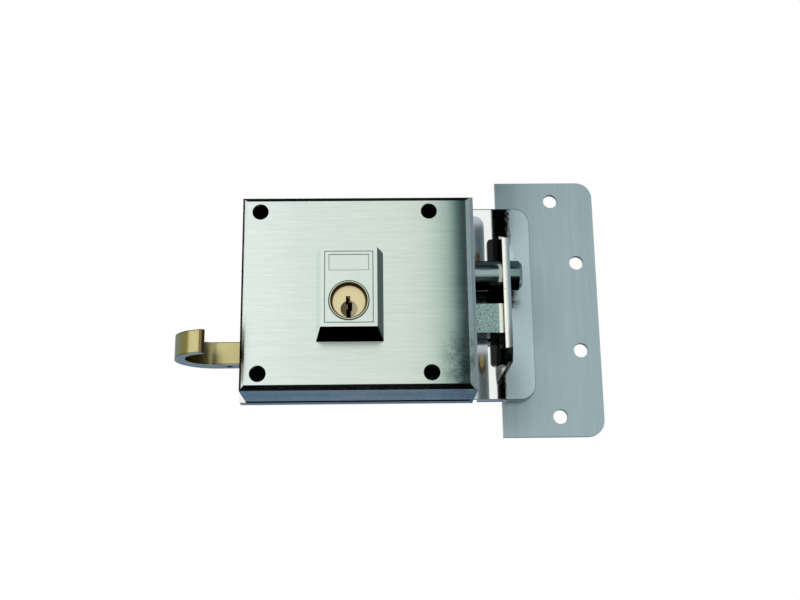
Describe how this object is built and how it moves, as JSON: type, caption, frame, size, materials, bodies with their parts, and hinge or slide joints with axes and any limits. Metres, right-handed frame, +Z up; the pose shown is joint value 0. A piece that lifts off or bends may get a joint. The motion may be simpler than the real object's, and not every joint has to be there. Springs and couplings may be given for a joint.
{
  "type": "surface mounted rim lock",
  "caption": "Box rim lock with round bolt, sprung latch, pull hook, keyed cylinder and a two-plate keeper with a standing tab.",
  "frame": {"origin": "middle of the four case fixing holes, on the plane of the door face", "axes": "+Z up and +X right as the lock is seen mounted, bolts towards +X; the front faces -Y and the door lies at +Y"},
  "size_m": [0.1768, 0.0499, 0.1124],
  "materials": {
    "tray_steel": "satin plated steel",
    "plate_steel": "satin nickel plated steel",
    "cover_steel": "fine horizontal brushing, nickel plated",
    "plain_steel": "zinc plated",
    "dark_steel": "dark plated",
    "housing_metal": "satin plated die casting",
    "cylinder_nickel": "bright nickel",
    "plug_brass": "satin champagne brass",
    "disc_bronze": "dark bronze",
    "pin_brass": "turned brass",
    "spring_steel": "drawn wire",
    "bolt_steel": "dark satin",
    "latch_zinc": "grainy zinc plated sintered metal",
    "hook_brass": "satin brass",
    "keeper_chrome": "polished plate, satin where it lies on the strike plate",
    "strike_steel": "fine vertical brushing"
  },
  "bodies": {
    "lock": {"base_tray": "tray_steel", "front_plate": "plate_steel", "cover": "cover_steel", "spacer_tubes": "plain_steel", "cover_posts": "plain_steel", "cover_screws": "dark_steel", "cylinder_housing": "housing_metal", "housing_screws": "dark_steel", "cylinder_body": "cylinder_nickel", "cylinder_clip": "dark_steel", "driver_pins": "pin_brass", "pin_springs": "spring_steel", "guide_studs": "plain_steel", "guide_washers": "plain_steel", "guide_clips": "dark_steel", "bolt_bush": "pin_brass", "latch_guide": "plain_steel", "latch_spring": "spring_steel", "stem_bracket": "plain_steel", "return_spring": "spring_steel", "spring_rod": "plain_steel", "rod_brackets": "plain_steel"},
    "carriage": {"carriage": "tray_steel", "pull_hook": "hook_brass", "hook_rivets": "pin_brass", "round_bolt": "bolt_steel", "bolt_screw": "dark_steel"},
    "latch": {"latch_bolt": "latch_zinc", "stem_clip": "dark_steel"},
    "plug": {"cylinder_plug": "plug_brass", "keyway_disc": "disc_bronze", "key_pins": "pin_brass", "cylinder_cam": "plain_steel", "cam_screw": "dark_steel"},
    "keeper": {"keeper_plate": "keeper_chrome", "tab_angle": "keeper_chrome", "strike_plate": "strike_steel", "keeper_studs": "strike_steel"}
  },
  "joints": [
    {"name": "pull_slide", "type": "slide", "parent": "lock", "child": "carriage", "axis": [-1, 0, 0], "range_m": [0, 0.016], "stiffness_N_per_m": 300, "springref_m": -0.01, "deforming": ["return_spring", "latch_spring"]},
    {"name": "latch_slide", "type": "slide", "parent": "lock", "child": "latch", "axis": [-1, 0, 0], "range_m": [0, 0.016]},
    {"name": "plug_turn", "type": "hinge", "parent": "lock", "child": "plug", "pos_m": [0.002, -0.03, -0.0081], "axis": [0, -1, 0], "range_deg": [0, 90]},
    {"name": "keeper_slide", "type": "slide", "parent": "lock", "child": "keeper", "axis": [1, 0, 0], "range_m": [0, 0.03]}
  ],
  "couplings": [
    {"joint": "latch_slide", "follows": "pull_slide", "ratio": 1},
    {"joint": "plug_turn", "follows": "pull_slide", "rad_per_m": 98.175}
  ]
}
